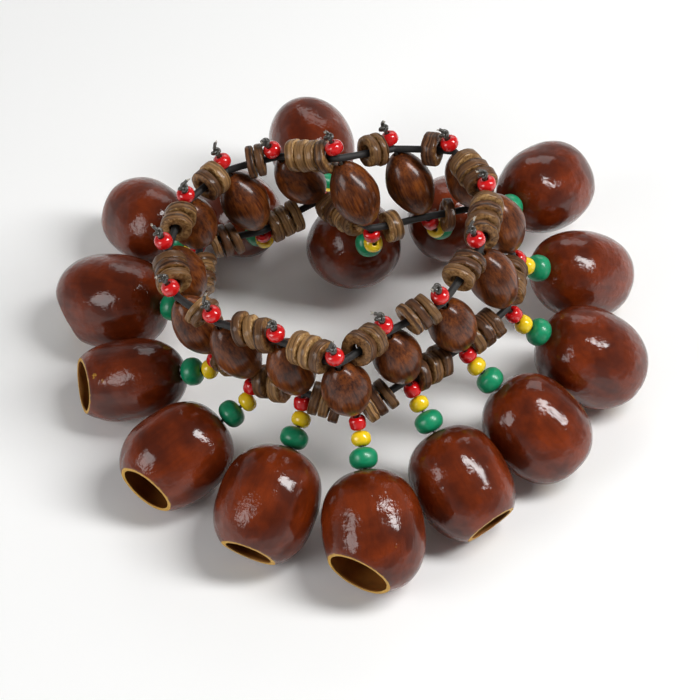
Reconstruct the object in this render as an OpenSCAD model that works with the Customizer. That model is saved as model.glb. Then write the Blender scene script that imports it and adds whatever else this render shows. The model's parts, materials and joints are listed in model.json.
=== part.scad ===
// Shaker bracelet: hollow nut shells, cut open at one end, swing on beaded cords
// from a band of two elastic rows that are threaded with coconut-shell discs.
// Millimetres, +Z up, the table at z = 0 and the front towards -Y.
// Strand 1 is at the front and the strands are numbered round towards the right.

/* [Band] */
// Width of the band across the lower row
band_w = 94; // [88:1:104]
// Depth of the band across the lower row, front to back
band_d = 82; // [78:1:92]
// Height of the lower row above the table at the middle of the band
row_z = 36; // [34:0.5:42]
// Angle at which the rows rise towards the right
row_tilt = 4.5; // [0:0.5:7]
// Diameter of the elastic cord of both rows
elastic_d = 2.4; // [1.8:0.1:3]

/* [Coconut discs] */
// Diameter of the discs
disc_d = 9.4; // [8:0.1:10.4]
// Diameter of the hole in the discs
disc_hole_d = 4.2; // [3.8:0.1:5]
// Thickness of a disc, before a group is evened out to fill its run of elastic
disc_t = 3.2; // [2.4:0.1:4.2]
// Chamfer on the edges of the discs
disc_chamfer = 0.4; // [0.1:0.05:0.6]

/* [Barrel beads] */
// Length of the barrel-shaped wooden beads
barrel_l = 20.4; // [18:0.2:22]
// Diameter of the barrel-shaped wooden beads
barrel_d = 14.6; // [13:0.2:15.6]
// Diameter of the hole in the barrel-shaped wooden beads
barrel_hole_d = 2.2; // [1.8:0.1:3]
// Bare cord that a strand shows between its barrel bead and each elastic
strand_slack = 1.1; // [1:0.1:3]

/* [Small beads] */
// Diameter of the red bead at the top of a strand
top_red_d = 5.6; // [4.6:0.1:6.6]
// Height of the red bead at the top of a strand
top_red_h = 4; // [3.2:0.1:5]
// Diameter of the red tube bead under the lower elastic
low_red_d = 5; // [4:0.1:6]
// Height of the red tube bead under the lower elastic
low_red_h = 3.3; // [2.8:0.1:4.2]
// Diameter of the yellow bead
yellow_d = 6; // [5:0.1:7]
// Height of the yellow bead
yellow_h = 4.6; // [3.6:0.1:5.6]
// Diameter of the green bead
green_d = 8.6; // [7:0.1:9.6]
// Height of the green bead
green_h = 6.4; // [5.4:0.1:8]
// Diameter of the hole in the small beads
bead_hole_d = 1.8; // [1.7:0.1:2.4]

/* [Cords] */
// Diameter of the waxed cord of the strands and pendants
cord_d = 1.1; // [0.8:0.05:1.2]
// Diameter of the lobes of a knot
knot_d = 3.2; // [2.6:0.1:3.6]
// Length of the loose tail above a top knot
tail_l = 4.5; // [2:0.5:7]

/* [Nut shells] */
// Width of a middling nut
nut_w = 29; // [26:0.5:32]
// Length of a middling nut before its end is cut off
nut_l = 33.5; // [31:0.5:36]
// Thickness of the shell
nut_wall = 1.1; // [0.9:0.1:2]
// Diameter of the cord hole in the shell
nut_hole_d = 2.2; // [1.8:0.1:3]
// Diameter at which a middling nut is cut open
mouth_d = 17; // [15:0.5:19]

/* [Fits] */
// Gap between pieces that bear on each other
seat_gap = 0.3; // [0.2:0.05:0.5]
// Gap between a red bead and the elastic, which runs past it on a slant
red_gap = 1; // [0.9:0.05:1.2]
// Gap under the lower red bead, in which the yellow bead turns
bend_gap = 0.8; // [0.7:0.05:1]

/* [Hidden] */
$fn = 48;
strand_count = 15;
strands = [0 : strand_count - 1];

// The rows are not true ovals. Each strand stands at a share of half the width and depth, in percent.
band_shape = [[0, -100], [32, -74], [66, -46], [95, -12], [100, 40], [84, 88], [46, 77], [10, 55],
              [-22, 100], [-60, 76], [-100, 66], [-100, 12], [-85, -40], [-62, -64], [-32, -80]];
// The rows are wavy too: height of each strand's foot over the plain of the rows
row_wave = [0, 0, 0, 0, 0, 0, 2, 8, 2, 0, 0, 0, 0, 0, 0];
// How far each strand leans from its foot to its head, in percent of its length, along X and Y
lean = [[-20, -10], [-25, -10], [-25, -15], [-35, 10], [-30, 10], [-40, 5], [-40, 30], [-38, 32],
        [-50, -10], [-40, 15], [-10, -20], [-30, -5], [-45, 10], [-40, 5], [-25, -5]];
// Compass direction of each pendant, counted from +X
azimuth = [-82, -56, -32, 1, 31, 51, 73, 109, 102, 113, 130, 155, 170, -150, -113];
// Nuts that ride up on their neighbours stand this high off the table
nut_lift = [0, 0, 0, 0, 0, 9, 0, 0, 16, 0, 4, 0, 0, 0, 0];
// Each nut's own width and length, as differences from the middling nut
nut_w_diff = [1, 0, 0, 1, -1, -1, -1, 0, -2, -2, -3, 1, -4, 0, 1];
nut_l_diff = [2, 0, 0, 1, 2, 0.5, -0.5, 0.5, -1.5, -0.5, -1.5, 3, 3, 0, 1];
// Each mouth: difference from the middling diameter, slope of the cut, and the way that it faces
mouth_cut = [[-3, 36, 252], [-1, 12, 160], [0, 15, 20], [1, 10, 0], [1, 10, 40], [0, 15, 0],
             [1, 10, 60], [1, 15, 0], [0, 10, 0], [0, 15, 30], [-1, 20, 120], [-6, 38, 110],
             [-5, 40, 138], [-5, 30, 120], [0, 3, 180]];
// Bare elastic left slack in each run after a strand, upper row and lower row
slack_up = [0, 0, 4, 0, 0, 0, 0, 0, 0, 0, 3, 0, 0, 0, 0];
slack_low = [0, 0, 0, 2, 2, 2, 2, 0, 0, 0, 0, 3, 0, 0, 0];
// Sideways lean of each top knot's tail
tail_turn = [40, 150, 200, 300, 90, 20, 130, 60, 80, 210, 170, 250, 330, 120, 280];
tail_tilt = 55;
// Nut width that the places of the strands are laid out for
laid_nut_w = 29;
// Puts the middle of the whole outline over the origin
table_shift = [1, -0.6];

// Exponents of the oval outlines: 2 is an ellipse and larger values have fuller shoulders
nut_fullness = 2.4;
barrel_fullness = 1.9;
ball_fullness = 2;
round_bead_fullness = 2.6;
tube_bead_fullness = 3;

// Wider nuts lie side by side on a longer round, so the band grows by the same length
nut_room = strand_count * max(0, nut_w - laid_nut_w) / PI;
barrel_start = elastic_d / 2 + strand_slack;
red_start = elastic_d / 2 + red_gap;
strand_span = barrel_l + 2 * barrel_start;
green_at = yellow_h / 2 + seat_gap + green_h / 2;
nut_at = green_at + green_h / 2 + seat_gap;
end_knot_at = nut_at + nut_wall + seat_gap + knot_d / 2;
top_red_at = strand_span + red_start + top_red_h / 2;
top_knot_at = top_red_at + top_red_h / 2 + seat_gap + knot_d / 2;
low_red_at = red_start + low_red_h / 2;
bend_at = red_start + low_red_h + bend_gap + yellow_h / 2;
// The cord is parted above the yellow bead, so that the pendant can turn: it goes on inside the bead.
upper_cord_end = red_start + low_red_h;
lower_cord_end = 0.5 - yellow_h / 2;
cord_tip = 0.3;
cord_sides = 8;
knot_rings = 5;
disc_shift = (disc_hole_d - elastic_d) / 2 - seat_gap;

function two(i) = i < 10 ? str("0", i) : str(i);
function unit(v) = v / norm(v);
// Rotation that turns +Z to the direction v
function aim(v) = [0, acos(v.z / norm(v)), atan2(v.y, v.x)];
// Radius of an oval at the share t of its half length
function oval_r(t, r, fullness) = r * pow(max(0, 1 - pow(abs(t), fullness)), 1 / fullness);
function oval_profile(r, half, fullness, steps) =
    [for (k = [0 : steps]) let (t = -cos(180 * k / steps)) [oval_r(t, r, fullness), half * t]];

function nut_r(i) = (nut_w + nut_w_diff[i]) / 2;
function nut_half(i) = (nut_l + nut_l_diff[i]) / 2;

// Foot and head of a strand are its crossings with the lower and the upper elastic.
foot = [for (i = strands)
    let (x = band_shape[i].x / 100 * (band_w + nut_room) / 2,
         y = band_shape[i].y / 100 * (band_d + nut_room) / 2)
    [x + table_shift.x, y + table_shift.y, row_z + row_wave[i] + x * tan(row_tilt)]];
rise = [for (l = lean / 100) [l.x, l.y, sqrt(1 - l.x * l.x - l.y * l.y)]];
head = [for (i = strands) foot[i] + rise[i] * strand_span];

// The bend between strand and pendant is shared: the lower red bead takes half of it, and the other half
// is in the yellow bead.
function pendant_dir(i, dip) = [cos(azimuth[i]) * cos(dip), sin(azimuth[i]) * cos(dip), -sin(dip)];
function red_dir(i, dip) = unit(pendant_dir(i, dip) - rise[i]);
function bend_point(i, dip) = foot[i] + red_dir(i, dip) * bend_at;
// Lowest point of a nut whose pendant dips by this angle
function nut_low(i, dip) = min([for (p = oval_profile(nut_r(i), nut_half(i), nut_fullness, 36))
    bend_point(i, dip).z - (nut_at + nut_half(i) + p.y) * sin(dip) - p.x * cos(dip)]);
// A pendant dips until its nut lies on the table, or on its neighbours at its lift.
function rest_dip(i, low = -30, high = 85, step = 0) = let (dip = (low + high) / 2)
    step == 20 ? dip :
    nut_low(i, dip) > nut_lift[i] ? rest_dip(i, dip, high, step + 1) : rest_dip(i, low, dip, step + 1);

dips = [for (i = strands) rest_dip(i)];
pendant = [for (i = strands) pendant_dir(i, dips[i])];
red_aim = [for (i = strands) red_dir(i, dips[i])];
bend = [for (i = strands) bend_point(i, dips[i])];

// True where a disc edge, out by rho from the elastic and x along it, misses an oval bead that lies
// along a line at the cosine c to the elastic and starts at the given distance from the crossing.
function misses(x, rho, c, start, l, r, fullness) =
    let (s = sqrt(1 - c * c), t = (x * c + rho * s - start - l / 2) / (l / 2))
    abs(t) > 1 || abs(x * s - rho * c) >= oval_r(t, r, fullness) + seat_gap;
// Distance from a crossing at which discs clear the barrel on one side and the red bead on the other
function disc_start(barrel_c, red_c, red_d, red_h) =
    max([0, for (x = [1 : 0.25 : 14], share = [1 : -0.2 : 0.2])
        if (!misses(x, share * (disc_d / 2 - disc_shift), barrel_c, barrel_start, barrel_l, barrel_d / 2,
                    barrel_fullness)
            || !misses(x, share * (disc_d / 2 + disc_shift), red_c, red_start, red_h, red_d / 2,
                       round_bead_fullness)) x]) + 0.25;

// Solid of revolution with an oval outline, its middle at the origin
module oval(d, l, fullness, steps) {
    rotate_extrude() polygon(oval_profile(d / 2, l / 2, fullness, steps));
}

module threaded_bead(at, along, d, h, hole_d, fullness, steps = 12) {
    translate(at) rotate(aim(along)) difference() {
        oval(d, h, fullness, steps);
        cylinder(h = h + 1, d = hole_d, center = true);
    }
}

// Swept tube along points with a radius at each, its rings turned by the fixed direction ref.
// A closed tube runs back to its first ring, and an open one is capped.
module tube(points, radii, ref, closed = false) {
    count = len(points);
    rings = [for (k = [0 : count - 1])
        let (before = closed ? points[(k + count - 1) % count] : points[max(k - 1, 0)],
             after = closed ? points[(k + 1) % count] : points[min(k + 1, count - 1)],
             mid = unit(unit(after - points[k] + (k == count - 1 && !closed ? points[k] - before : [0, 0, 0]))
                        + unit(points[k] - before + (k == 0 && !closed ? after - points[k] : [0, 0, 0]))),
             x = unit(cross(ref, mid)), y = cross(mid, x))
        for (s = [0 : cord_sides - 1])
            points[k] + radii[k] * (x * cos(360 * s / cord_sides) + y * sin(360 * s / cord_sides))];
    function corner(k, s) = (k % count) * cord_sides + s % cord_sides;
    walls = [for (k = [0 : closed ? count - 1 : count - 2], s = [0 : cord_sides - 1], half = [0, 1])
        half == 0 ? [corner(k, s), corner(k + 1, s), corner(k + 1, s + 1)]
                  : [corner(k, s), corner(k + 1, s + 1), corner(k, s + 1)]];
    caps = closed ? [] : [for (s = [1 : cord_sides - 2], end = [0, 1])
        end == 0 ? [corner(0, 0), corner(0, s), corner(0, s + 1)]
                 : [corner(count - 1, 0), corner(count - 1, s + 1), corner(count - 1, s)]];
    polyhedron(rings, concat(walls, caps));
}

// Places and radii of a knot's rings along its cord, counted from its middle
function knot_ring(k) = let (a = 180 * (k + 0.5) / knot_rings)
    [-knot_d / 2 * cos(a), max(cord_d / 2, knot_d / 2 * sin(a))];

// Closed loop of elastic that bends at each strand, where the strand's cord is sewn through it
module elastic(points) {
    tube(points, [for (i = strands) elastic_d / 2], [0, 0, 1], closed = true);
}

module disc(t) {
    r = disc_d / 2;
    rotate_extrude() polygon([
        [disc_hole_d / 2, -t / 2], [r - disc_chamfer, -t / 2], [r, -t / 2 + disc_chamfer],
        [r, t / 2 - disc_chamfer], [r - disc_chamfer, t / 2], [disc_hole_d / 2, t / 2]]);
}

// Discs on one run of elastic, pushed off the barrel beads as far as their holes let them
module disc_group(from, to, start, finish, slack, away) {
    along = unit(to - from);
    push = unit(away - along * (away * along)) * disc_shift;
    room = norm(to - from) - start - finish - slack;
    count = room < disc_t / 2 ? 0 : max(1, ceil(room / (disc_t + seat_gap) - 0.25));
    for (k = [0 : 1 : count - 1]) {
        at = from + along * (start + slack / 2 + room * (k + 0.5) / count) + push;
        translate(at) rotate(aim(along)) disc(room / count - seat_gap);
    }
}

module upper_elastic() { color("#1c1a19") elastic(head); }

module lower_elastic() { color("#1c1a19") elastic(foot); }

module upper_discs() {
    color("#5a4029") for (i = strands) {
        j = (i + 1) % strand_count;
        along = unit(head[j] - head[i]);
        near = disc_start(-rise[i] * along, rise[i] * along, top_red_d, top_red_h);
        far = disc_start(rise[j] * along, -rise[j] * along, top_red_d, top_red_h);
        disc_group(head[i], head[j], near, far, slack_up[i], rise[i] + rise[j]);
    }
}

module lower_discs() {
    color("#523a25") for (i = strands) {
        j = (i + 1) % strand_count;
        along = unit(foot[j] - foot[i]);
        near = disc_start(rise[i] * along, red_aim[i] * along, low_red_d, low_red_h);
        far = disc_start(-rise[j] * along, -red_aim[j] * along, low_red_d, low_red_h);
        disc_group(foot[i], foot[j], near, far, slack_low[i], -rise[i] - rise[j]);
    }
}

module top_red_beads() {
    color("#c81018") for (i = strands)
        threaded_bead(foot[i] + rise[i] * top_red_at, rise[i], top_red_d, top_red_h, bead_hole_d,
                      round_bead_fullness);
}

module lower_red_beads() {
    color("#b80f16") for (i = strands)
        threaded_bead(foot[i] + red_aim[i] * low_red_at, red_aim[i], low_red_d, low_red_h, bead_hole_d,
                      tube_bead_fullness);
}

// Waxed cords of the strands, each from its loose tail through its top knot down to the bend
module strand_cords() {
    color("#2a2724") for (i = strands) {
        top = foot[i] + rise[i] * top_knot_at;
        side = unit(cross(rise[i], red_aim[i]));
        tail = rise[i] * cos(tail_tilt) + cos(tail_turn[i]) * sin(tail_tilt) * side
            + sin(tail_turn[i]) * sin(tail_tilt) * cross(rise[i], side);
        rings = [for (k = [0 : knot_rings - 1]) knot_ring(k)];
        tube(concat([top + rise[i] * knot_d / 2 + tail * tail_l, top + rise[i] * knot_d * 0.6],
                    [for (r = rings) top - rise[i] * r[0]],
                    [foot[i], foot[i] + red_aim[i] * (upper_cord_end - cord_tip),
                     foot[i] + red_aim[i] * upper_cord_end]),
             concat([cord_d / 2, cord_d / 2], [for (r = rings) r[1]], [cord_d / 2, cord_d / 2, cord_d / 4]),
             side);
    }
}

module barrel_bead(i) {
    color("#4f2812")
        threaded_bead(foot[i] + rise[i] * (barrel_start + barrel_l / 2), rise[i], barrel_d, barrel_l,
                      barrel_hole_d, barrel_fullness, 24);
}

// Yellow and green bead on the pendant's cord, which ends in a knot inside the nut
module bead_string(i) {
    along = pendant[i];
    color("#f2d10a") threaded_bead(bend[i], along, yellow_d, yellow_h, bead_hole_d, ball_fullness);
    color("#00734a") threaded_bead(bend[i] + along * green_at, along, green_d, green_h, bead_hole_d,
                                   round_bead_fullness);
    rings = [for (k = [0 : knot_rings - 1]) knot_ring(k)];
    color("#2a2724") tube(
        concat([bend[i] + along * lower_cord_end, bend[i] + along * (lower_cord_end + cord_tip)],
               [for (r = rings) bend[i] + along * (end_knot_at + r[0])]),
        concat([cord_d / 4, cord_d / 2], [for (r = rings) r[1]]), [sin(azimuth[i]), -cos(azimuth[i]), 0]);
}

// Hollow nut with a cord hole at the inner end and its outer end cut off on the slant
module nut_shell(i) {
    d = 2 * nut_r(i);
    l = 2 * nut_half(i);
    cut = mouth_cut[i];
    mouth_z = l / 2 * pow(1 - pow((mouth_d + cut[0]) / d, nut_fullness), 1 / nut_fullness);
    color("#6b2a0c")
    translate(bend[i] + pendant[i] * (nut_at + l / 2)) rotate(aim(pendant[i])) difference() {
        oval(d, l, nut_fullness, 12);
        oval(d - 2 * nut_wall, l - 2 * nut_wall, nut_fullness, 12);
        translate([0, 0, -l / 2 - 1]) cylinder(h = l / 2, d = nut_hole_d);
        translate([0, 0, mouth_z]) rotate([0, 0, cut[2]]) rotate([0, cut[1], 0])
            translate([-d, -d, 0]) cube([2 * d, 2 * d, l]);
    }
}

upper_elastic();
lower_elastic();
upper_discs();
lower_discs();
top_red_beads();
lower_red_beads();
strand_cords();
for (i = strands) {
    barrel_bead(i);
    bead_string(i);
    nut_shell(i);
}
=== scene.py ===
"""Shaker bracelet: hollow nut shells on beaded cords that hang from two elastic rows of coconut discs."""

import json
import math
import random

import bpy
import numpy as np
from mathutils import Matrix, Vector, noise


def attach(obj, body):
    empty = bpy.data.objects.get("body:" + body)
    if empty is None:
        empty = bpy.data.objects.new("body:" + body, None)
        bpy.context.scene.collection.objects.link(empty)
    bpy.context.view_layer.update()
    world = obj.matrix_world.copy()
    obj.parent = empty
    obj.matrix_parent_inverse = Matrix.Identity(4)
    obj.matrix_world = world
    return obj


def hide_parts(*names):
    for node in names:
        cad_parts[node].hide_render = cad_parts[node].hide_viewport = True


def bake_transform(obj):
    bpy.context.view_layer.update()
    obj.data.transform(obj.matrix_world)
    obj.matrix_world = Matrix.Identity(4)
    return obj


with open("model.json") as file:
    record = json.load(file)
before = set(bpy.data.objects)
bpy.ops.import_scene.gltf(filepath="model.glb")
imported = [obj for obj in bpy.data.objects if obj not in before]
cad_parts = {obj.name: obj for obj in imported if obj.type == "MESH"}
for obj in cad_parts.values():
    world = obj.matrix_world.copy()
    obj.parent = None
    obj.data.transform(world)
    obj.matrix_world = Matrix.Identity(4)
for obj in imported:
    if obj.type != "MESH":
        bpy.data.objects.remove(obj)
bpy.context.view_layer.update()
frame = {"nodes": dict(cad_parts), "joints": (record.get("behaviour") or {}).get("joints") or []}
chance = random.Random(29)

# Camera. The photograph looks down on the bracelet at 50 degrees from the front, through a long lens
# about three quarters of a metre away.
aim_point = Vector((-0.0005, -0.014, 0.0305))
camera_height = math.radians(50)
camera_distance = 0.75
camera = bpy.data.objects.new("camera", bpy.data.cameras.new("camera"))
camera.data.sensor_width, camera.data.lens = 36, 131
camera_back = Vector((0, -math.cos(camera_height), math.sin(camera_height)))
camera.location = aim_point + camera_back * camera_distance
camera.rotation_mode = "QUATERNION"
camera.rotation_quaternion = (-camera_back).to_track_quat("-Z", "Y")
bpy.context.scene.collection.objects.link(camera)
bpy.context.scene.camera = camera

# Strands. Fifteen lengths of waxed cotton cord are sewn through both elastic rows. Their crossings and
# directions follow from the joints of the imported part. All lengths from here on are in millimetres.
to_mm = 1000
strand_count = 15
barrel_reach = 12.5
joints = {joint["name"]: joint for joint in frame["joints"]}
strands = []
for number in range(1, strand_count + 1):
    tag = f"{number:02d}"
    spin, swing, swivel = (joints[f"{motion}_{tag}"] for motion in ("barrel_spin", "swing", "swivel"))
    rise, pendant = Vector(spin["axis"]).normalized(), Vector(swivel["axis"]).normalized()
    middle, bend, nut_tip = (Vector(joint["pos_m"]) * to_mm for joint in (spin, swing, swivel))
    foot = middle - rise * barrel_reach
    strands.append({"tag": tag, "rise": rise, "pendant": pendant, "red_aim": (bend - foot).normalized(),
                    "foot": foot, "middle": middle, "head": middle + rise * barrel_reach,
                    "bend": bend, "nut_tip": nut_tip})

# Elastic rows. Each is a closed loop of black round elastic, rubber cores in a braided polyester cover,
# its knot hidden in a disc. The braid shows where the discs leave the loop bare.
elastic_d, elastic_sides = 2.4, 16
elastic_steps = 60
elastic_curve = 0.25
braid_step, braid_depth, braid_turns = 1.3, 0.1, 2
yarn_width, yarn_fuzz = 0.6, 0.15
off_path = (0.11, 0.23, 0.05)


def quads(rows, sides, closed=True, flip=False):
    """Faces of rows of points: each row is a closed ring, and the last row joins the first if closed."""
    faces = []
    for k in range(rows if closed else rows - 1):
        for s in range(sides):
            a, b = k * sides + s, k * sides + (s + 1) % sides
            c, d = (k + 1) % rows * sides + (s + 1) % sides, (k + 1) % rows * sides + s
            faces.append((a, d, c, b) if flip else (a, b, c, d))
    return faces


def sweep(path, radii, closed=False, up=None):
    """Points and faces of a tube along a path, with one row of radii for each ring."""
    path, radii = np.array(path, float), np.array(radii, float)
    count, sides = radii.shape
    along = np.roll(path, -1, 0) - np.roll(path, 1, 0) if closed else np.gradient(path, axis=0)
    along /= np.linalg.norm(along, axis=1)[:, None]
    across = np.cross(up if up is not None else along[0][[1, 2, 0]] + off_path, along[0])
    turn = np.arange(sides) * 2 * math.pi / sides
    points = []
    for k in range(count):
        across = np.cross(up, along[k]) if up is not None else across - along[k] * (across @ along[k])
        across = across / np.linalg.norm(across)
        other = np.cross(along[k], across)
        ring = np.outer(np.cos(turn), across) + np.outer(np.sin(turn), other)
        points.append(path[k] + radii[k][:, None] * ring)
    faces = quads(count, sides, closed)
    if not closed:
        faces += [tuple(range(sides))[::-1], tuple((count - 1) * sides + s for s in range(sides))]
    return np.concatenate(points), faces


def piece(name, shape, finishes, body, nodes, place=None, finish_rows=None):
    """Smooth object of a shape, its points and faces, that rides a body, if one is named, and stands for
    nodes of the part."""
    points, faces = shape
    mesh = bpy.data.meshes.new(name)
    mesh.from_pydata((np.asarray(points, float) / to_mm).tolist(), [],
                     [tuple(int(v) for v in face) for face in faces])
    mesh.update()
    mesh.polygons.foreach_set("use_smooth", [True] * len(mesh.polygons))
    for material in finishes:
        mesh.materials.append(material)
    if finish_rows is not None:
        mesh.polygons.foreach_set("material_index", finish_rows)
    made = bpy.data.objects.new(name, mesh)
    bpy.context.scene.collection.objects.link(made)
    if place is not None:
        made.matrix_world = place
    if body:
        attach(made, body)
    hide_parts(*nodes)
    return made


def colour(code):
    """Linear colour of an sRGB hex value."""
    parts = [int(code[k:k + 2], 16) / 255 for k in (1, 3, 5)]
    return tuple(c / 12.92 if c <= 0.04045 else ((c + 0.055) / 1.055) ** 2.4 for c in parts) + (1,)


def add(tree, kind, inputs=None, **settings):
    """Adds a shader node with its settings, and links or fills its inputs."""
    made = tree.nodes.new(kind)
    for name, value in settings.items():
        setattr(made, name, value)
    for name, value in (inputs or {}).items():
        if isinstance(value, bpy.types.NodeSocket):
            tree.links.new(value, made.inputs[name])
        else:
            made.inputs[name].default_value = value
    return made


def finish(name, **shine):
    """New material with its node tree and shader; shine fills sockets of the shader."""
    made = bpy.data.materials.new(name)
    made.use_nodes = True
    shader = made.node_tree.nodes["Principled BSDF"]
    for socket, value in shine.items():
        shader.inputs[socket.replace("_", " ")].default_value = value
    return made, made.node_tree, shader


# Braided polyester: matt black yarn that takes a faint grey sheen on its crowns.
elastic_finish, tree, shader = finish("braided_polyester", Roughness=0.62, Sheen_Weight=0.08)
place = add(tree, "ShaderNodeTexCoord").outputs["Object"]
yarn = add(tree, "ShaderNodeTexNoise",
           {"Vector": place, "Scale": to_mm / yarn_width, "Detail": 3}).outputs["Fac"]
tone = add(tree, "ShaderNodeMixRGB",
           {"Fac": yarn, "Color1": colour("#070606"), "Color2": colour("#1f1d1b")})
tree.links.new(tone.outputs["Color"], shader.inputs["Base Color"])
fuzz = add(tree, "ShaderNodeBump", {"Height": yarn, "Strength": 0.5, "Distance": yarn_fuzz / to_mm})
tree.links.new(fuzz.outputs["Normal"], shader.inputs["Normal"])

for row, end in (("upper", "head"), ("lower", "foot")):
    corners = [np.array(strand[end]) for strand in strands]
    route = []
    for k in range(strand_count):
        before, here, there, after = (corners[(k + step) % strand_count] for step in (-1, 0, 1, 2))
        for share in np.linspace(0, 1, elastic_steps, endpoint=False):
            straight = here + (there - here) * share
            curved = 0.5 * (2 * here + (there - before) * share
                            + (2 * before - 5 * here + 4 * there - after) * share ** 2
                            + (3 * here - before - 3 * there + after) * share ** 3)
            route.append(straight * (1 - elastic_curve) + curved * elastic_curve)
    reach = np.cumsum([0] + [np.linalg.norm(b - a) for a, b in zip(route, route[1:])])
    turn = np.arange(elastic_sides) / elastic_sides
    laid = reach[:, None] / braid_step
    weave = (np.cos(2 * math.pi * (laid + braid_turns * turn))
             * np.cos(2 * math.pi * (laid - braid_turns * turn)))
    radii = elastic_d / 2 - braid_depth + braid_depth * weave
    piece(f"{row}_elastic_braid", sweep(route, radii, closed=True, up=np.array((0, 0, 1.0))),
          [elastic_finish], "band", [f"{row}_elastic"])

# Strand cords. Waxed cotton, two plies twisted, goes up from the lowest bead through both rows and ends
# above the top bead in an overhand knot. The knot's cut tail has come undone into pale threads.
cord_d, cord_sides = 1.1, 10
ply_pitch, ply_depth = 2.2, 0.07
strand_end = 5.5
knot_up, knot_size, knot_height, knot_steps = 20.0, 0.42, 1.15, 48
tail_turn = [40, 150, 200, 300, 90, 20, 130, 60, 80, 210, 170, 250, 330, 120, 280]
tail_length = [2, 3, 4, 4, 3, 2, 3, 3.5, 3, 3.5, 4, 3, 3, 3.5, 2.5]
tail_d = cord_d * 0.95
tail_lean = 55
tail_start, tail_rise, tail_droop, tail_curl = 1.2, 0.9, 0.4, 0.5
fray_up, fray_out, fray_spread, fray_length = 0.6, 0.42, 0.45, (0.15, 0.38)
thread_d, thread_count, thread_sides, thread_steps = 0.3, 14, 5, 6
fibre_width, fibre_fuzz, fray_patch = 0.7, 0.2, 1.1


def twisted(path, d):
    """Tube with the ridges of a twisted two-ply cord."""
    path = np.array(path, float)
    steps = np.concatenate([[0], np.cumsum(np.linalg.norm(np.diff(path, axis=0), axis=1))])
    turn = np.arange(cord_sides) * 2 * math.pi / cord_sides
    ridge = np.abs(np.cos(turn[None, :] - math.pi * steps[:, None] / ply_pitch * 2))
    return sweep(path, d / 2 - ply_depth + ply_depth * ridge)


def joined(shapes):
    """One shape from several."""
    points, faces, start = [], [], 0
    for some_points, some_faces in shapes:
        points.append(np.asarray(some_points))
        faces += [tuple(v + start for v in face) for face in some_faces]
        start += len(some_points)
    return np.concatenate(points), faces


def between(a, b, count):
    """Points spread evenly from a to b."""
    return [np.array(a) + (np.array(b) - np.array(a)) * k / (count - 1) for k in range(count)]


def overhand(at, along):
    """Overhand knot: a cord that loops once through itself, drawn tight into a lump."""
    side = np.array(along.orthogonal().normalized())
    ahead, other = np.array(along), np.cross(np.array(along), side)
    path = []
    for k in range(knot_steps + 1):
        t = 2 * math.pi * k / knot_steps
        x, y = math.sin(t) + 2 * math.sin(2 * t), math.cos(t) - 2 * math.cos(2 * t)
        z = -knot_height * math.sin(3 * t)
        path.append(np.array(at) + knot_size * (x * side + y * other + z * ahead))
    return twisted(path, cord_d)


def stray():
    """Random vector that reaches up to 1 along each axis."""
    return Vector([chance.uniform(-1, 1) for _ in range(3)])


# Waxed cotton: charcoal fibre under a film of wax, so it glints on its ridges.
cord_finish, tree, shader = finish("waxed_cotton", Roughness=0.28, Specular_IOR_Level=0.9)
place = add(tree, "ShaderNodeTexCoord").outputs["Object"]
fibre = add(tree, "ShaderNodeTexNoise",
            {"Vector": place, "Scale": to_mm / fibre_width, "Detail": 4}).outputs["Fac"]
tone = add(tree, "ShaderNodeMixRGB",
           {"Fac": fibre, "Color1": colour("#100e0c"), "Color2": colour("#4c463d")})
tree.links.new(tone.outputs["Color"], shader.inputs["Base Color"])
fuzz = add(tree, "ShaderNodeBump", {"Height": fibre, "Strength": 0.6, "Distance": fibre_fuzz / to_mm})
tree.links.new(fuzz.outputs["Normal"], shader.inputs["Normal"])
# Frayed cotton: bare threads at the cut end, bleached and dry.
thread_finish, tree, shader = finish("frayed_cotton", Roughness=0.7)
place = add(tree, "ShaderNodeTexCoord").outputs["Object"]
fibre = add(tree, "ShaderNodeTexNoise",
            {"Vector": place, "Scale": to_mm / fray_patch, "Detail": 2}).outputs["Fac"]
tone = add(tree, "ShaderNodeMixRGB",
           {"Fac": fibre, "Color1": colour("#5d5549"), "Color2": colour("#e4ddcf")})
tree.links.new(tone.outputs["Color"], shader.inputs["Base Color"])

cords, threads = [], []
thread_taper = np.linspace(1, 0.5, thread_steps)[:, None]
thread_radii = np.full((thread_steps, thread_sides), thread_d / 2) * thread_taper
for k, strand in enumerate(strands):
    rise, foot, red_aim, length = strand["rise"], strand["foot"], strand["red_aim"], tail_length[k]
    side = rise.cross(red_aim).normalized()
    knot = strand["middle"] + rise * knot_up
    lean, turn = math.radians(tail_lean), math.radians(tail_turn[k])
    sideways = side * math.cos(turn) + rise.cross(side) * math.sin(turn)
    tail = rise * math.cos(lean) + sideways * math.sin(lean)
    droop = tail - rise * tail_droop
    down_strand = between(knot, foot, 40) + between(foot, foot + red_aim * strand_end, 8)[1:]
    cords.append(twisted(down_strand, cord_d))
    cords.append(overhand(knot, rise))
    start = knot + rise * tail_start
    cords.append(twisted([start + rise * tail_rise * s + droop * length * tail_curl * s * s
                          for s in np.linspace(0, 1, 8)], tail_d))
    root = start + rise * fray_up + droop * length * fray_out
    for _ in range(thread_count):
        spread = stray() * fray_spread
        reach = length * chance.uniform(*fray_length)
        path = [root + (tail + spread * s) * reach * s for s in np.linspace(0, 1, thread_steps)]
        threads.append(sweep(path, thread_radii))
piece("strand_cords_waxed", joined(cords), [cord_finish], "band", ["strand_cords"])
piece("strand_tails_frayed", joined(threads), [thread_finish], "band", ["strand_cords"])

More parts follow.
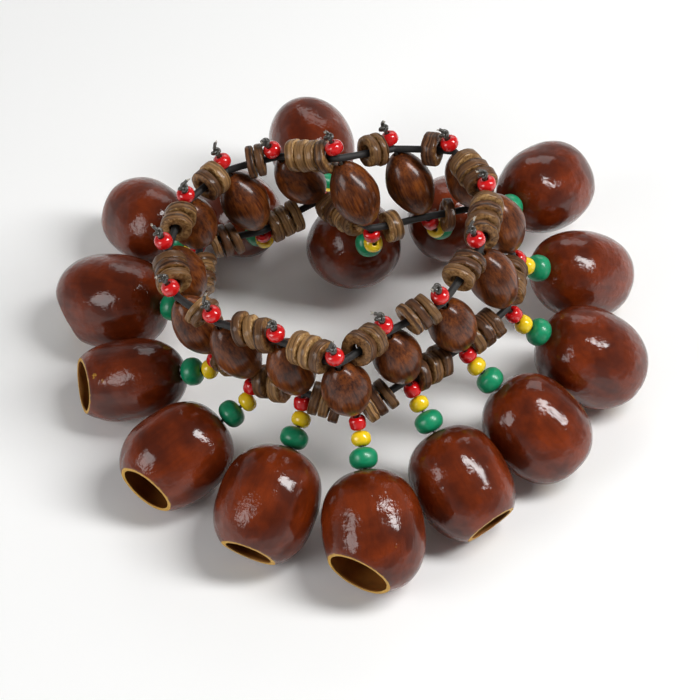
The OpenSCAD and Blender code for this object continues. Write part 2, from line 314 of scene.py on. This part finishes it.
# Coconut discs. Rough rounds punched from coconut shell, drilled and tumbled, are threaded on both rows.
# Their rims keep the grey-brown outside of the shell, and their cut faces show tan fibre.
disc_sides = 36
disc_hole_r, disc_hole_ease, disc_edge = 2.0, 0.35, 0.45
disc_thicker, disc_wider = (0.98, 1.12), (1.03, 1.1)
run_spread, run_tip, own_tip = 0.16, 0.32, 0.1
disc_tones = (0.0, 0.1, 0.2, 0.35, 0.5, 0.9)
chip_start, chip_depth = 0.28, 0.8
fleck_width, patch_width, layer_step, layer_wave, pit_depth = 1.2, 4, 0.9, 1.6, 0.3


def solids(node):
    """Separate solids of a node of the part, each as an array of its points in millimetres."""
    mesh = frame["nodes"][node].data
    keys, owner = {}, []
    for v in mesh.vertices:
        owner.append(keys.setdefault(tuple(round(c, 6) for c in v.co), len(keys)))
    root = list(range(len(keys)))

    def top(k):
        while root[k] != k:
            root[k] = root[root[k]]
            k = root[k]
        return k

    for edge in mesh.edges:
        root[top(owner[edge.vertices[0]])] = top(owner[edge.vertices[1]])
    groups = {}
    for co, k in keys.items():
        groups.setdefault(top(k), []).append(co)
    return [np.array(group) * to_mm for group in groups.values()]


# Coconut shell: hard chocolate shell in thin layers, varnished. Attributes of the mesh steer it: cut is 1
# on the sawn faces and edges, tone runs from dark to pale discs, and layer is the height through the shell.
coconut, tree, shader = finish("coconut_shell", Roughness=0.5, Specular_IOR_Level=0.15,
                               Coat_Weight=0.4, Coat_Roughness=0.2)
place = add(tree, "ShaderNodeTexCoord").outputs["Object"]
cut = add(tree, "ShaderNodeAttribute", attribute_name="cut").outputs["Fac"]
tone = add(tree, "ShaderNodeAttribute", attribute_name="tone").outputs["Fac"]
layer = add(tree, "ShaderNodeAttribute", attribute_name="layer").outputs["Fac"]
fleck = add(tree, "ShaderNodeTexNoise", {"Vector": place, "Scale": to_mm / fleck_width, "Detail": 5,
                                         "Roughness": 0.7}).outputs["Fac"]
patch = add(tree, "ShaderNodeTexNoise",
            {"Vector": place, "Scale": to_mm / patch_width, "Detail": 3}).outputs["Fac"]
sheet = add(tree, "ShaderNodeMath", {0: patch, 1: layer_wave}, operation="MULTIPLY").outputs["Value"]
sheet = add(tree, "ShaderNodeMath", {0: sheet, 1: layer}, operation="ADD").outputs["Value"]
sheet = add(tree, "ShaderNodeTexNoise",
            {"W": sheet, "Scale": 1 / layer_step, "Detail": 3, "Roughness": 0.6},
            noise_dimensions="1D").outputs["Fac"]
sheet = add(tree, "ShaderNodeMapRange",
            {"Value": sheet, "From Min": 0.28, "From Max": 0.74}).outputs["Result"]
sharp = add(tree, "ShaderNodeMapRange",
            {"Value": fleck, "From Min": 0.38, "From Max": 0.64}).outputs["Result"]
dark_rim = add(tree, "ShaderNodeMixRGB",
               {"Fac": sheet, "Color1": colour("#26140a"), "Color2": colour("#6b452a")}).outputs["Color"]
pale_rim = add(tree, "ShaderNodeMixRGB",
               {"Fac": sheet, "Color1": colour("#4f331b"), "Color2": colour("#b08654")}).outputs["Color"]
rim = add(tree, "ShaderNodeMixRGB",
          {"Fac": tone, "Color1": dark_rim, "Color2": pale_rim}).outputs["Color"]
pale_face = add(tree, "ShaderNodeMixRGB",
                {"Fac": sharp, "Color1": colour("#845a2c"), "Color2": colour("#d6b078")}).outputs["Color"]
dark_face = add(tree, "ShaderNodeMixRGB",
                {"Fac": sharp, "Color1": colour("#3c2412"), "Color2": colour("#94693a")}).outputs["Color"]
face = add(tree, "ShaderNodeMixRGB",
           {"Fac": tone, "Color1": dark_face, "Color2": pale_face}).outputs["Color"]
edge = add(tree, "ShaderNodeMath",
           {0: cut, 1: patch, 2: -0.28}, operation="MULTIPLY_ADD").outputs["Value"]
worn = add(tree, "ShaderNodeMapRange",
           {"Value": edge, "From Min": 0.0, "From Max": 0.2}).outputs["Result"]
skin = add(tree, "ShaderNodeMixRGB", {"Fac": worn, "Color1": rim, "Color2": face})
tree.links.new(skin.outputs["Color"], shader.inputs["Base Color"])
relief = add(tree, "ShaderNodeMath", {0: fleck, 1: sheet}, operation="ADD").outputs["Value"]
pits = add(tree, "ShaderNodeBump", {"Height": relief, "Strength": 0.6, "Distance": pit_depth / to_mm})
tree.links.new(pits.outputs["Normal"], shader.inputs["Normal"])

for row, end in (("upper", "head"), ("lower", "foot")):
    shapes, cuts, tones, layers = [], [], [], []
    corners = [strand[end] for strand in strands]
    runs = list(zip(corners, corners[1:] + corners[:1]))
    tips = [stray() * run_tip for _ in runs]
    for solid in solids(f"{row}_discs"):
        centre = solid.mean(0)
        at = Vector(centre)
        run = min(range(strand_count), key=lambda k: (runs[k][0] - at).length + (runs[k][1] - at).length
                  - (runs[k][1] - runs[k][0]).length)
        start, stop = runs[run]
        axis = Vector(np.linalg.svd(solid - centre)[2][2])
        axis = -axis if axis.dot(stop - start) < 0 else axis
        middle = Vector(centre + np.array(axis) * (axis.dot(at - (start + stop) / 2) * run_spread))
        offsets = solid - np.array(at)
        heights = offsets @ np.array(axis)
        half = (heights.max() - heights.min()) / 2 * chance.uniform(*disc_thicker)
        r = np.linalg.norm(offsets - np.outer(heights, axis), axis=1).max() * chance.uniform(*disc_wider)
        axis = (axis + tips[run] + stray() * own_tip).normalized()
        side = axis.orthogonal().normalized()
        other = axis.cross(side)
        seed = chance.uniform(0, 90)
        pale = chance.choice(disc_tones)
        # Radius, height and bareness of the upper face, from the hole out to the rim
        upper = [(disc_hole_r, half * 0.75, 1), (disc_hole_r + disc_hole_ease, half, 1), (r * 0.7, half, 1),
                 (r - disc_edge, half, 1), (r - disc_edge * 0.3, half - disc_edge * 0.3, 0.75),
                 (r, half - disc_edge, 0.3)]
        profile = [(out, -height, bare) for out, height, bare in upper] + [(r * 1.005, 0, 0)] + upper[::-1]
        points = []
        for s in range(disc_sides):
            turn = 2 * math.pi * s / disc_sides
            spot = Vector((math.cos(turn), math.sin(turn), 0))
            swell = (0.985 + 0.09 * noise.noise(spot * 1.1 + Vector((0, 0, seed)))
                     + 0.04 * noise.noise(spot * 3 + Vector((0, 5, seed))))
            chip = max(0, noise.noise(spot * 2.4 + Vector((7, 0, seed))) - chip_start)
            outward = side * math.cos(turn) + other * math.sin(turn)
            for radius, height, bare in profile:
                outer = radius > r * 0.6
                out = radius * swell if outer else radius
                drop = 1 - chip * chip_depth * (bare if height > 0 and outer else 0)
                points.append(middle + outward * out + axis * height * drop)
                cuts.append(min(1, bare + chip))
                tones.append(pale)
                layers.append(height + seed)
        shapes.append((np.array(points), quads(disc_sides, len(profile))))
    discs = piece(f"{row}_coconut_discs", joined(shapes), [coconut], "band", [f"{row}_discs"])
    for name, values in (("cut", cuts), ("tone", tones), ("layer", layers)):
        discs.data.attributes.new(name, "FLOAT", "POINT").data.foreach_set("value", values)

# Barrel beads. Olive-shaped beads turned from dark brown palm wood with a lengthwise grain, bored end to
# end and rubbed with lacquer. The cord holds one upright between the two rows, and it can turn on the cord.
barrel_l, barrel_d, barrel_hole_d = 22.2, 14.6, 2.2
barrel_fullness = 1.75
hole_lip, hole_ease = 0.25, 0.08
grain_width, grain_stretch, grain_depth, cloud_width = 0.7, 0.07, 0.22, 6
amber_from, amber_to = -6, -9.5
grain_shift = 40.0


def standing(at, along):
    """Placing, in metres, that sets a piece's own Z along a direction at a point given in millimetres."""
    lean, turn = math.acos(max(-1, min(1, along.z))), math.atan2(along.y, along.x)
    return Matrix.Translation(at / to_mm) @ Matrix.Rotation(turn, 4, "Z") @ Matrix.Rotation(lean, 4, "Y")


def bead(d, l, hole_d, fullness, steps, sides, uneven):
    """Shape of a bored bead round Z with an oval outline, its hole edges eased, a little uneven."""
    seed = chance.uniform(0, 50)
    hole_r, rows = hole_d / 2, []
    for k in range(steps + 1):
        t = -math.cos(math.pi * k / steps)
        rows.append((d / 2 * max(0, 1 - abs(t) ** fullness) ** (1 / fullness), l / 2 * t))
    rows = [row for row in rows if row[0] > hole_r + hole_lip]
    low, high = rows[0][1], rows[-1][1]
    profile = ([(hole_r, low * 0.9), (hole_r + hole_ease, low * 0.985)] + rows
               + [(hole_r + hole_ease, high * 0.985), (hole_r, high * 0.9)])
    points = []
    for s in range(sides):
        turn = 2 * math.pi * s / sides
        for radius, height in profile:
            spot = Vector((math.cos(turn) * 0.9, math.sin(turn) * 0.9, height * 0.12 + seed))
            swell = 1 - uneven * (0.5 - noise.noise(spot))
            points.append((radius * swell * math.cos(turn), radius * swell * math.sin(turn), height))
    return np.array(points), quads(sides, len(profile), flip=True)


# Palm wood: dark brown with fine lengthwise fibres, amber where the lower end was rubbed thin.
palm, tree, shader = finish("palm_wood", Roughness=0.45, Specular_IOR_Level=0.12,
                            Coat_Weight=0.5, Coat_Roughness=0.17)
place = add(tree, "ShaderNodeTexCoord").outputs["Object"]
own = add(tree, "ShaderNodeObjectInfo").outputs["Random"]
shift = add(tree, "ShaderNodeMath", {0: own, 1: grain_shift}, operation="MULTIPLY").outputs["Value"]
long_way = add(tree, "ShaderNodeMapping",
               {"Vector": place, "Scale": (1, 1, grain_stretch)}).outputs["Vector"]
grain = add(tree, "ShaderNodeTexNoise", {"Vector": long_way, "W": shift, "Scale": to_mm / grain_width,
                                         "Detail": 4, "Roughness": 0.65},
            noise_dimensions="4D").outputs["Fac"]
cloud = add(tree, "ShaderNodeTexNoise",
            {"Vector": place, "W": shift, "Scale": to_mm / cloud_width, "Detail": 2},
            noise_dimensions="4D").outputs["Fac"]
fibre = add(tree, "ShaderNodeMapRange",
            {"Value": grain, "From Min": 0.36, "From Max": 0.66}).outputs["Result"]
light = add(tree, "ShaderNodeMapRange",
            {"Value": cloud, "From Min": 0.4, "From Max": 0.65}).outputs["Result"]
dark = add(tree, "ShaderNodeMixRGB",
           {"Fac": fibre, "Color1": colour("#2c1106"), "Color2": colour("#62300f")}).outputs["Color"]
warm = add(tree, "ShaderNodeMixRGB",
           {"Fac": fibre, "Color1": colour("#481d09"), "Color2": colour("#8a4a1b")}).outputs["Color"]
wood = add(tree, "ShaderNodeMixRGB", {"Fac": light, "Color1": dark, "Color2": warm}).outputs["Color"]
height = add(tree, "ShaderNodeSeparateXYZ", {"Vector": place}).outputs["Z"]
low_end = add(tree, "ShaderNodeMapRange", {"Value": height, "From Min": amber_from / to_mm,
                                           "From Max": amber_to / to_mm}).outputs["Result"]
amber = add(tree, "ShaderNodeMath", {0: low_end, 1: light}, operation="MULTIPLY").outputs["Value"]
wood = add(tree, "ShaderNodeMixRGB", {"Fac": amber, "Color1": wood, "Color2": colour("#9a6218")})
tree.links.new(wood.outputs["Color"], shader.inputs["Base Color"])
ridges = add(tree, "ShaderNodeBump", {"Height": grain, "Strength": 0.55, "Distance": grain_depth / to_mm})
tree.links.new(ridges.outputs["Normal"], shader.inputs["Normal"])

for strand in strands:
    tag = strand["tag"]
    piece(f"barrel_{tag}_palm", bead(barrel_d, barrel_l, barrel_hole_d, barrel_fullness, 36, 48, 0.05),
          [palm], f"barrel_{tag}", [f"barrel_bead_{tag}"],
          standing(strand["middle"], strand["rise"]))

# Red beads. Small pony beads of glossy red glass: one above the upper row under the knot, and a slimmer one,
# cut from tube, under the lower row.
top_red_d, top_red_l, top_red_fullness, top_red_up = 5.6, 4.2, 2.6, 16.2
low_red_d, low_red_l, low_red_fullness, low_red_down = 5.2, 4.1, 3.4, 3.45
bead_hole_d = 1.8
red_swirl, glass_dimple = 5, 0.6

# Opaque red glass: one even colour right through, with a hard clear gloss.
red_glass, tree, shader = finish("red_glass", Roughness=0.16, IOR=1.52,
                                 Coat_Weight=0.5, Coat_Roughness=0.05)
place = add(tree, "ShaderNodeTexCoord").outputs["Object"]
swirl = add(tree, "ShaderNodeTexNoise",
            {"Vector": place, "Scale": to_mm / red_swirl, "Detail": 2}).outputs["Fac"]
red = add(tree, "ShaderNodeMixRGB",
          {"Fac": swirl, "Color1": colour("#b00c12"), "Color2": colour("#e4181a")})
tree.links.new(red.outputs["Color"], shader.inputs["Base Color"])
dimple = add(tree, "ShaderNodeBump",
             {"Height": swirl, "Strength": 0.25, "Distance": glass_dimple / to_mm})
tree.links.new(dimple.outputs["Normal"], shader.inputs["Normal"])


def placed(shape, at, along):
    """Shape stood along a direction at a point, all in millimetres."""
    points, faces = shape
    put = standing(at, along)
    put.translation = at
    return np.array([put @ Vector(p) for p in points]), faces


tops, lows = [], []
for strand in strands:
    rise, red_aim = strand["rise"], strand["red_aim"]
    tops.append(placed(bead(top_red_d, top_red_l, bead_hole_d, top_red_fullness, 18, 32, 0.06),
                       strand["middle"] + rise * top_red_up, rise))
    lows.append(placed(bead(low_red_d, low_red_l, bead_hole_d, low_red_fullness, 18, 32, 0.05),
                       strand["foot"] + red_aim * low_red_down, red_aim))
piece("top_reds_glass", joined(tops), [red_glass], "band", ["top_red_beads"])
piece("lower_reds_glass", joined(lows), [red_glass], "band", ["lower_red_beads"])

# Pendant strings. Below the bend a strand carries a yellow glass bead and a larger green wooden one, then
# goes into the nut and ends in a knot that the nut hangs on. The cord bends where it enters the yellow bead.
yellow_d, yellow_l, yellow_fullness = 6.0, 4.6, 2.5
green_d, green_l, green_fullness, green_down = 8.6, 6.4, 2.4, 5.8
end_knot_in = 3.2
bend_reach, bend_share = 4.5, 0.6
yellow_swirl, streak_width, streak_depth = 4, 0.8, 0.3

# Opaque yellow glass: as the red, in a warm signal yellow.
yellow_glass, tree, shader = finish("yellow_glass", Roughness=0.18, IOR=1.52,
                                    Coat_Weight=0.5, Coat_Roughness=0.06)
place = add(tree, "ShaderNodeTexCoord").outputs["Object"]
swirl = add(tree, "ShaderNodeTexNoise",
            {"Vector": place, "Scale": to_mm / yellow_swirl, "Detail": 2}).outputs["Fac"]
yellow = add(tree, "ShaderNodeMixRGB",
             {"Fac": swirl, "Color1": colour("#f0c400"), "Color2": colour("#ffe22a")})
tree.links.new(yellow.outputs["Color"], shader.inputs["Base Color"])
dimple = add(tree, "ShaderNodeBump", {"Height": swirl, "Strength": 0.2, "Distance": glass_dimple / to_mm})
tree.links.new(dimple.outputs["Normal"], shader.inputs["Normal"])
# Green dipped wood: thin paint over a turned bead, so the grain shows as fine streaks, the gloss uneven.
green_paint, tree, shader = finish("green_dipped_wood", Roughness=0.34,
                                   Coat_Weight=0.3, Coat_Roughness=0.2)
place = add(tree, "ShaderNodeTexCoord").outputs["Object"]
own = add(tree, "ShaderNodeObjectInfo").outputs["Random"]
shift = add(tree, "ShaderNodeMath", {0: own, 1: grain_shift}, operation="MULTIPLY").outputs["Value"]
slanted = add(tree, "ShaderNodeMapping", {"Vector": place, "Scale": (1, 0.2, 0.6),
                                          "Rotation": (0.4, 0.5, 0)}).outputs["Vector"]
streak = add(tree, "ShaderNodeTexNoise", {"Vector": slanted, "W": shift, "Scale": to_mm / streak_width,
                                          "Detail": 4}, noise_dimensions="4D").outputs["Fac"]
green = add(tree, "ShaderNodeMixRGB",
            {"Fac": streak, "Color1": colour("#006b45"), "Color2": colour("#16ab76")})
tree.links.new(green.outputs["Color"], shader.inputs["Base Color"])
grain = add(tree, "ShaderNodeBump",
            {"Height": streak, "Strength": 0.35, "Distance": streak_depth / to_mm})
tree.links.new(grain.outputs["Normal"], shader.inputs["Normal"])

for strand in strands:
    tag, bend, pendant, red_aim = (strand[key] for key in ("tag", "bend", "pendant", "red_aim"))
    body, nodes = f"pendant_{tag}", [f"bead_string_{tag}"]
    piece(f"yellow_bead_{tag}", bead(yellow_d, yellow_l, bead_hole_d, yellow_fullness, 20, 36, 0.07),
          [yellow_glass], body, nodes, standing(bend, pendant))
    piece(f"green_bead_{tag}", bead(green_d, green_l, bead_hole_d, green_fullness, 24, 40, 0.06),
          [green_paint], body, nodes, standing(bend + pendant * green_down, pendant))
    knot = strand["nut_tip"] + pendant * end_knot_in
    string = twisted(between(bend, knot, 30), cord_d)
    piece(f"pendant_cord_{tag}", joined([string, overhand(knot, pendant)]),
          [cord_finish], body, nodes)
    crook = piece(f"cord_bend_{tag}", twisted(between(bend - red_aim * bend_reach, bend, 21), cord_d),
                  [cord_finish], None, nodes)
    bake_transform(crook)

# Nut shells. Large hollow nuts, dried, cut off at the outer end, cleaned out and dipped in lacquer. Each has
# a cord hole at its inner end, hangs on its knot and can turn on it. No two have the same size or cut.
nut_wall, nut_hole_d, nut_fullness = 1.1, 2.2, 2.4
nut_sides, outer_rows, inner_rows = 96, 46, 18
mouth_d = 17
# Of each nut's mouth: how much wider it is than mouth_d, how far its cut slopes and the way that it faces
mouth_cut = [(-3, 36, 252), (-1, 12, 160), (0, 15, 20), (1, 10, 0), (1, 10, 40), (0, 15, 0), (1, 10, 60),
             (1, 15, 0), (0, 10, 0), (0, 15, 30), (-1, 20, 120), (-8, 36, 75), (-5, 40, 138), (-5, 30, 120),
             (0, 3, 180)]
rim_share, rim_steps, rim_ragged, rim_wear = 0.6, (0.15, 0.85), 0.12, 0.55
nut_girth, nut_dent, nut_ripple = 0.978, 0.022, 0.006
lobe_depth, lobe_more = 0.010, 0.006
creased = (3, 10, 11, 12, 13)
deep_crease, faint_crease, crease_width, crease_slant = 0.034, 0.016, 0.11, 0.25
nut_cloud, nut_streak, nut_speck, pucker_width, pucker_depth = 11, 1.6, 1.3, 1.8, 0.5
nut_shift = 60.0
saw_fleck, saw_depth, scrape_width = 0.7, 0.3, 3

# Lacquered nut shell: chestnut brown under a thick clear lacquer that pools in faint wrinkles. Wear is an
# attribute of the mesh: where it is high, the lacquer has gone and ochre shell shows.
lacquer, tree, shader = finish("lacquered_nut_shell", Roughness=0.5, Specular_IOR_Level=0.05,
                               Coat_Weight=0.8, Coat_Roughness=0.08, Coat_IOR=1.5)
place = add(tree, "ShaderNodeTexCoord").outputs["Object"]
own = add(tree, "ShaderNodeObjectInfo").outputs["Random"]
shift = add(tree, "ShaderNodeMath", {0: own, 1: nut_shift}, operation="MULTIPLY").outputs["Value"]
wear = add(tree, "ShaderNodeAttribute", attribute_name="wear").outputs["Fac"]
cloud = add(tree, "ShaderNodeTexNoise",
            {"Vector": place, "W": shift, "Scale": to_mm / nut_cloud, "Detail": 3,
                                         "Roughness": 0.55}, noise_dimensions="4D").outputs["Fac"]
long_way = add(tree, "ShaderNodeMapping", {"Vector": place, "Scale": (1, 1, 0.12)}).outputs["Vector"]
streak = add(tree, "ShaderNodeTexNoise", {"Vector": long_way, "W": shift, "Scale": to_mm / nut_streak,
                                          "Detail": 4, "Roughness": 0.6},
             noise_dimensions="4D").outputs["Fac"]
warm = add(tree, "ShaderNodeMapRange",
           {"Value": cloud, "From Min": 0.4, "From Max": 0.64}).outputs["Result"]
base = add(tree, "ShaderNodeMixRGB",
           {"Fac": warm, "Color1": colour("#4f1a05"), "Color2": colour("#792d0a")}).outputs["Color"]
vein = add(tree, "ShaderNodeMapRange",
           {"Value": streak, "From Min": 0.42, "From Max": 0.7, "To Max": 0.3}).outputs["Result"]
base = add(tree, "ShaderNodeMixRGB",
           {"Fac": vein, "Color1": base, "Color2": colour("#351105")}).outputs["Color"]
speck = add(tree, "ShaderNodeTexNoise",
            {"Vector": place, "W": shift, "Scale": to_mm / nut_speck, "Detail": 4,
                                         "Roughness": 0.7}, noise_dimensions="4D").outputs["Fac"]
bare = add(tree, "ShaderNodeMath", {0: wear, 1: speck}, operation="ADD").outputs["Value"]
bare = add(tree, "ShaderNodeMapRange",
           {"Value": bare, "From Min": 0.95, "From Max": 1.15}).outputs["Result"]
base = add(tree, "ShaderNodeMixRGB", {"Fac": bare, "Color1": base, "Color2": colour("#b98830")})
tree.links.new(base.outputs["Color"], shader.inputs["Base Color"])
pucker = add(tree, "ShaderNodeTexNoise", {"Vector": place, "W": shift, "Scale": to_mm / pucker_width,
                                          "Detail": 3, "Roughness": 0.6},
             noise_dimensions="4D").outputs["Fac"]
where = add(tree, "ShaderNodeMapRange",
            {"Value": cloud, "From Min": 0.46, "From Max": 0.6, "To Min": 0.12}).outputs["Result"]
wrinkle = add(tree, "ShaderNodeMath", {0: pucker, 1: where}, operation="MULTIPLY").outputs["Value"]
fine = add(tree, "ShaderNodeMath", {0: streak, 1: 0.3}, operation="MULTIPLY").outputs["Value"]
fold = add(tree, "ShaderNodeMath", {0: wrinkle, 1: fine}, operation="ADD").outputs["Value"]
ripple = add(tree, "ShaderNodeBump", {"Height": fold, "Strength": 0.6, "Distance": pucker_depth / to_mm})
tree.links.new(ripple.outputs["Normal"], shader.inputs["Normal"])
tree.links.new(ripple.outputs["Normal"], shader.inputs["Coat Normal"])
# Sawn nut shell: the bare cut edge, ochre and fibrous.
sawn, tree, shader = finish("sawn_nut_shell", Roughness=0.6)
place = add(tree, "ShaderNodeTexCoord").outputs["Object"]
fleck = add(tree, "ShaderNodeTexNoise",
            {"Vector": place, "Scale": to_mm / saw_fleck, "Detail": 4}).outputs["Fac"]
ochre = add(tree, "ShaderNodeMixRGB",
            {"Fac": fleck, "Color1": colour("#a06c1a"), "Color2": colour("#e2b650")})
tree.links.new(ochre.outputs["Color"], shader.inputs["Base Color"])
rough = add(tree, "ShaderNodeBump", {"Height": fleck, "Strength": 0.6, "Distance": saw_depth / to_mm})
tree.links.new(rough.outputs["Normal"], shader.inputs["Normal"])
# Nut lining: the scraped inside, dull brown with the marks of the tool, painted lighter than its own brown
# as painted light inside the hollow, where the lamps leave it in shade.
lining_painted_light, tree, shader = finish("scraped_nut_lining_painted_light", Roughness=0.7)
place = add(tree, "ShaderNodeTexCoord").outputs["Object"]
scrape = add(tree, "ShaderNodeTexNoise",
             {"Vector": place, "Scale": to_mm / scrape_width, "Detail": 4}).outputs["Fac"]
# Both browns are painted light: lighter than the scraped shell is, so the shaded hollow shows as lit.
inside = add(tree, "ShaderNodeMixRGB",
             {"Fac": scrape, "Color1": colour("#7a4412"), "Color2": colour("#b5762c")})
tree.links.new(inside.outputs["Color"], shader.inputs["Base Color"])


def nut(number, r, half):
    """Shape, wear and finishes of one cut nut, its middle at the origin and its mouth towards +Z."""
    wider, slope, facing = mouth_cut[number]
    mouth_z = half * (1 - ((mouth_d + wider) / (2 * r)) ** nut_fullness) ** (1 / nut_fullness)
    saw = (Matrix.Rotation(math.radians(facing), 3, "Z") @ Matrix.Rotation(math.radians(slope), 3, "Y")
           @ Vector((0, 0, 1)))
    seed = 11.3 * number
    lobes, lobe_turn = lobe_depth + lobe_more * (number % 3), 2.1 * number
    creases = [chance.uniform(0, 2 * math.pi) for _ in range(1 + number % 3)]
    crease_depth = deep_crease if number in creased else faint_crease

    def skin(t, turn, wall):
        """Radius and height at the share t of the length, 0 at the cord hole and 1 at the uncut tip."""
        level = -math.cos(math.pi * t)
        radius = (r - wall) * max(0, 1 - abs(level) ** nut_fullness) ** (1 / nut_fullness)
        spot = Vector((math.cos(turn), math.sin(turn), level * 1.2))
        swell = nut_girth + lobes * math.cos(3 * turn + lobe_turn)
        swell += nut_dent * noise.noise(spot * 1.3 + Vector((0, 0, seed)))
        swell += nut_ripple * noise.noise(spot * 3.1 + Vector((0, seed, 0)))
        for crease in creases:
            off = (turn - crease + crease_slant * level + math.pi) % (2 * math.pi) - math.pi
            swell -= crease_depth * math.exp(-(off / crease_width) ** 2) * (0.35 + 0.65 * level * level)
        return radius * swell, (half - wall) * level

    def sawn_at(turn, wall):
        """Share of the length at which the saw cut meets the outside or the inside."""
        low, high = 0.3, 1.0
        outward = saw.x * math.cos(turn) + saw.y * math.sin(turn)
        for _ in range(24):
            t = (low + high) / 2
            radius, height = skin(t, turn, wall)
            low, high = (t, high) if radius * outward + (height - mouth_z) * saw.z < 0 else (low, t)
        return low

    def start_at(turn, wall):
        """Share of the length at the edge of the cord hole."""
        low, high = 0.0, 0.3
        for _ in range(20):
            t = (low + high) / 2
            low, high = (t, high) if skin(t, turn, wall)[0] < nut_hole_d / 2 else (low, t)
        return high

    points, wears = [], []
    for s in range(nut_sides):
        turn = 2 * math.pi * s / nut_sides
        first, last = start_at(turn, 0), sawn_at(turn, 0)
        inner_first, inner_last = start_at(turn, nut_wall), sawn_at(turn, nut_wall * rim_share)
        column = [skin(first + (last - first) * k / (outer_rows - 1), turn, 0) for k in range(outer_rows)]
        inner = [skin(inner_last + (inner_first - inner_last) * k / (inner_rows - 1), turn,
                      nut_wall * min(1, rim_share + (1 - rim_share) * k / 4)) for k in range(inner_rows)]
        (ra, za), (rb, zb) = column[-1], inner[0]
        ragged = rim_ragged * noise.noise(Vector((math.cos(turn) * 4, math.sin(turn) * 4, seed)))
        rim = [(ra + (rb - ra) * share, za + (zb - za) * share + ragged) for share in rim_steps]
        for k, (radius, height) in enumerate(column + rim + inner):
            points.append((radius * math.cos(turn), radius * math.sin(turn), height))
            near_rim = max(0.0, 1 - (outer_rows - 1 - k) / 1.5) if k < outer_rows else 0.0
            wears.append(rim_wear * near_rim)
    # Outside lacquered, rim sawn and inside scraped
    finishes = [0] * (outer_rows - 1) + [1] * (len(rim_steps) + 1) + [2] * inner_rows
    return np.array(points), quads(nut_sides, len(finishes), flip=True), wears, finishes * nut_sides


# Worn and scarred places: index of the nut, then the place's turn in degrees, height, reach and depth
scars = [(2, 130, 10, 4, 0.75), (2, 128, 5, 4.5, 0.8), (2, 126, 0, 4.5, 0.75), (2, 122, -5, 4, 0.6),
         (2, 140, -16, 2.5, 0.65), (12, 150, 5, 1.3, 0.75), (12, 140, 2, 1.1, 0.75), (0, 160, 7, 0.8, 0.8),
         (11, 120, 2, 1.2, 0.6)]
scar_r = 0.95
for number, strand in enumerate(strands):
    tag, nut_tip, pendant = strand["tag"], strand["nut_tip"], strand["pendant"]
    to_nut = standing(nut_tip, pendant).inverted()
    shell = np.array([to_nut @ v.co for v in frame["nodes"][f"nut_shell_{tag}"].data.vertices]) * to_mm
    breadth = np.hypot(shell[:, 0], shell[:, 1])
    r, half = breadth.max(), shell[breadth > breadth.max() - 0.01, 2].mean()
    points, faces, wears, finishes = nut(number, r, half)
    for which, turn, height, reach, depth in scars:
        if which == number:
            turn = math.radians(turn)
            spot = np.array((r * scar_r * math.cos(turn), r * scar_r * math.sin(turn), height))
            fade = np.exp(-(np.linalg.norm(points - spot, axis=1) / reach) ** 2)
            wears = np.maximum(wears, depth * fade).tolist()
    made = piece(f"nut_{tag}_lacquered", (points, faces), [lacquer, sawn, lining_painted_light], f"nut_{tag}",
                 [f"nut_shell_{tag}"], standing(nut_tip + pendant * half, pendant), finishes)
    made.data.attributes.new("wear", "FLOAT", "POINT").data.foreach_set("value", wears)

# Floor. A white sweep, as in a product studio: the camera sees it white, and it keeps the soft shadow.
floor_half = 3
floor = bpy.data.objects.new("floor", bpy.data.meshes.new("floor"))
floor.data.from_pydata([(-floor_half, -floor_half, 0), (floor_half, -floor_half, 0),
                        (floor_half, floor_half, 0), (-floor_half, floor_half, 0)], [], [(0, 1, 2, 3)])
bpy.context.scene.collection.objects.link(floor)
floor.data.materials.append(finish("white_paper", Roughness=0.9, Base_Color=colour("#fcfcfb"))[0])

# Light. A tall softbox above and to the right gives the strip of highlight on each nut, a broad one on the
# left the pale sheen, and one at the back lifts the far rims. A room with white walls and a dim ceiling
# gives the rest. Places and sizes are in metres, and power is in watts.
lamps = (("key", (0.42, -0.08, 0.60), (0.16, 0.50), 4.8),
         ("broad", (-0.75, -0.45, 0.55), (0.5, 0.5), 3.8),
         ("back", (0.1, 0.8, 0.6), (0.8, 0.4), 1.8))
for name, at, size, power in lamps:
    lamp = bpy.data.objects.new(name, bpy.data.lights.new(name, "AREA"))
    lamp.data.shape, lamp.data.size, lamp.data.size_y, lamp.data.energy = "RECTANGLE", *size, power
    lamp.location = at
    lamp.rotation_mode = "QUATERNION"
    lamp.rotation_quaternion = (aim_point - Vector(at)).to_track_quat("-Z", "Y")
    bpy.context.scene.collection.objects.link(lamp)
wall_light, ceiling_light, ceiling_from = 0.5, 0.12, 0.5
world = bpy.data.worlds.new("white_room")
bpy.context.scene.world = world
world.use_nodes = True
tree = world.node_tree
direction = add(tree, "ShaderNodeTexCoord").outputs["Generated"]
upward = add(tree, "ShaderNodeSeparateXYZ", {"Vector": direction}).outputs["Z"]
room = add(tree, "ShaderNodeMapRange", {"Value": upward, "From Max": ceiling_from,
                                        "To Min": wall_light, "To Max": ceiling_light})
tree.links.new(room.outputs["Result"], tree.nodes["Background"].inputs["Strength"])
tree.nodes["Background"].inputs["Color"].default_value = (1, 1, 1, 1)
bpy.context.scene.view_settings.view_transform = "Standard"
